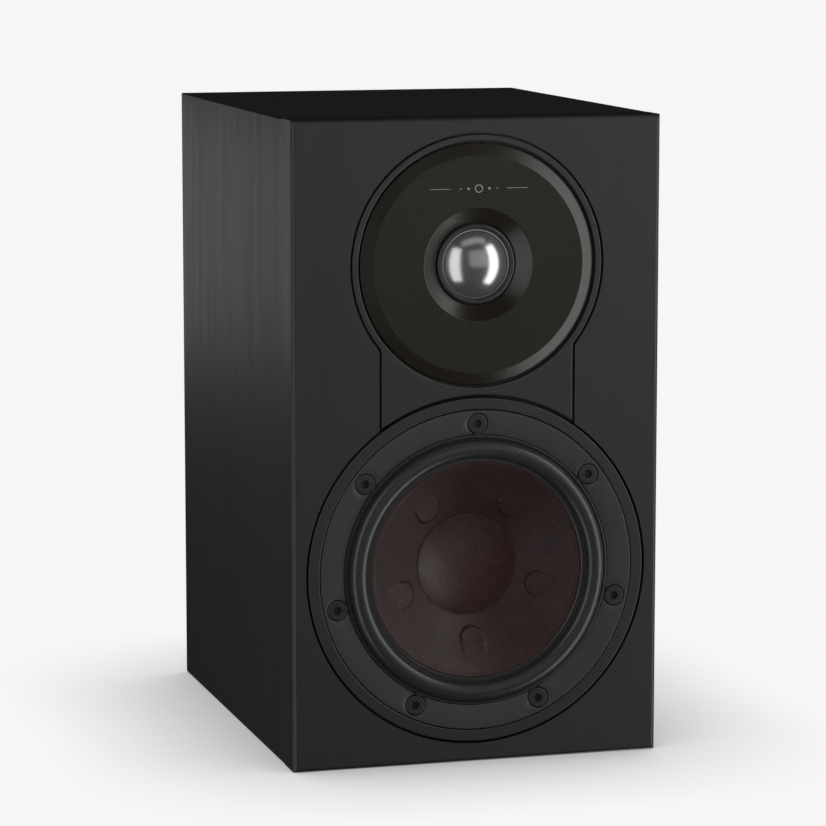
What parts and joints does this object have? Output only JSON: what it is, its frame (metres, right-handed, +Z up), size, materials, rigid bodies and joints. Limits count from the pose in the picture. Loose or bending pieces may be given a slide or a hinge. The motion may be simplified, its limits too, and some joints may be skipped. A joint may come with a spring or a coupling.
{
  "type": "bookshelf speaker",
  "caption": "Two-way bookshelf loudspeaker: wrapped box cabinet, dome tweeter in a round faceplate, paper-cone woofer with roll surround, rear port and screw binding posts.",
  "frame": {"origin": "centre of the cabinet's footprint, on its underside", "axes": "+Z up, -Y out of the front baffle, +Y out of the rear panel, +X to the right seen from the front"},
  "size_m": [0.162, 0.2271, 0.276],
  "materials": {
    "black_ash": "satin black ash-grain vinyl wrap over fibreboard",
    "bare_board": "raw fibreboard",
    "satin_trim": "satin moulded black",
    "cast_flange": "satin black painted casting",
    "rubber": "soft satin black rubber",
    "pulp": "dark brown fibre-flecked pulp",
    "faceplate": "fine satin dark grey",
    "dome": "smooth silver grey",
    "foam": "soft black foam",
    "wadding": "white fibre wadding",
    "steel": "plated steel",
    "black_screw": "blackened steel",
    "ferrite": "sintered ferrite",
    "copper": "enamelled copper winding",
    "former": "thin foil tube",
    "spider_cloth": "treated woven cloth",
    "gold": "gold-plated brass",
    "red_plastic": "clear-coated red",
    "black_plastic": "gloss black",
    "moulded_black": "fine textured black",
    "board_green": "glass-fibre laminate",
    "film_yellow": "taped film capacitor",
    "cement_white": "ceramic resistor body",
    "lead_black": "PVC insulation",
    "tinsel": "braided copper"
  },
  "bodies": {
    "cabinet": {"bottom_panel": "black_ash", "cabinet_brace": "bare_board", "crossover_board": "board_green", "crossover_capacitors": "film_yellow", "crossover_resistors": "cement_white", "crossover_screws": "steel", "crossover_standoffs": "steel", "crossover_tweeter_coil": "copper", "crossover_woofer_coil": "copper", "damping_mat": "wadding", "front_baffle": "black_ash", "input_leads": "lead_black", "keyhole_trim": "satin_trim", "port_tube": "moulded_black", "post_collar_black": "black_plastic", "post_collar_red": "red_plastic", "post_nuts": "steel", "post_stud_black": "gold", "post_stud_red": "gold", "post_tags": "steel", "rear_panel": "black_ash", "side_panel_left": "black_ash", "side_panel_right": "black_ash", "terminal_cup": "moulded_black", "terminal_gasket": "foam", "terminal_screws": "black_screw", "top_panel": "black_ash", "tweeter_back_plate": "steel", "tweeter_faceplate": "faceplate", "tweeter_gasket": "foam", "tweeter_leads": "lead_black", "tweeter_magnet": "ferrite", "tweeter_rear_chamber": "moulded_black", "tweeter_screws": "steel", "tweeter_surround": "rubber", "tweeter_terminals": "steel", "tweeter_top_plate": "steel", "woofer_back_plate": "steel", "woofer_basket": "cast_flange", "woofer_gasket": "foam", "woofer_leads": "lead_black", "woofer_magnet": "ferrite", "woofer_screws": "black_screw", "woofer_spider": "spider_cloth", "woofer_surround": "rubber", "woofer_terminals": "steel", "woofer_tinsel_leads": "tinsel", "woofer_top_plate": "steel", "woofer_trim_ring": "satin_trim"},
    "woofer_cone_assembly": {"woofer_cone": "pulp", "woofer_dust_cap": "pulp", "woofer_coil_former": "former", "woofer_voice_coil": "copper"},
    "tweeter_dome_assembly": {"tweeter_dome": "dome", "tweeter_voice_coil": "copper"},
    "washer_red": {"post_washer_red": "gold"},
    "cap_red": {"post_cap_red": "red_plastic"},
    "washer_black": {"post_washer_black": "gold"},
    "cap_black": {"post_cap_black": "black_plastic"}
  },
  "joints": [
    {"name": "woofer_travel", "type": "slide", "parent": "cabinet", "child": "woofer_cone_assembly", "axis": [0, -1, 0], "range_m": [-0.005, 0.005], "stiffness_N_per_m": 1000, "deforming": ["woofer_surround", "woofer_spider", "woofer_tinsel_leads"]},
    {"name": "tweeter_travel", "type": "slide", "parent": "cabinet", "child": "tweeter_dome_assembly", "axis": [0, -1, 0], "range_m": [-0.0003, 0.0003], "stiffness_N_per_m": 2000, "deforming": ["tweeter_surround"]},
    {"name": "washer_travel_red", "type": "slide", "parent": "cabinet", "child": "washer_red", "axis": [0, 1, 0], "range_m": [0, 0.004]},
    {"name": "cap_turn_red", "type": "hinge", "parent": "washer_red", "child": "cap_red", "pos_m": [-0.0095, 0.1085, 0.08], "axis": [0, 1, 0], "range_deg": [0, 1441]},
    {"name": "washer_travel_black", "type": "slide", "parent": "cabinet", "child": "washer_black", "axis": [0, 1, 0], "range_m": [0, 0.004]},
    {"name": "cap_turn_black", "type": "hinge", "parent": "washer_black", "child": "cap_black", "pos_m": [0.0095, 0.1085, 0.08], "axis": [0, 1, 0], "range_deg": [0, 1441]}
  ],
  "couplings": [
    {"joint": "cap_turn_red", "follows": "washer_travel_red", "rad_per_m": 6283.2},
    {"joint": "cap_turn_black", "follows": "washer_travel_black", "rad_per_m": 6283.2}
  ]
}
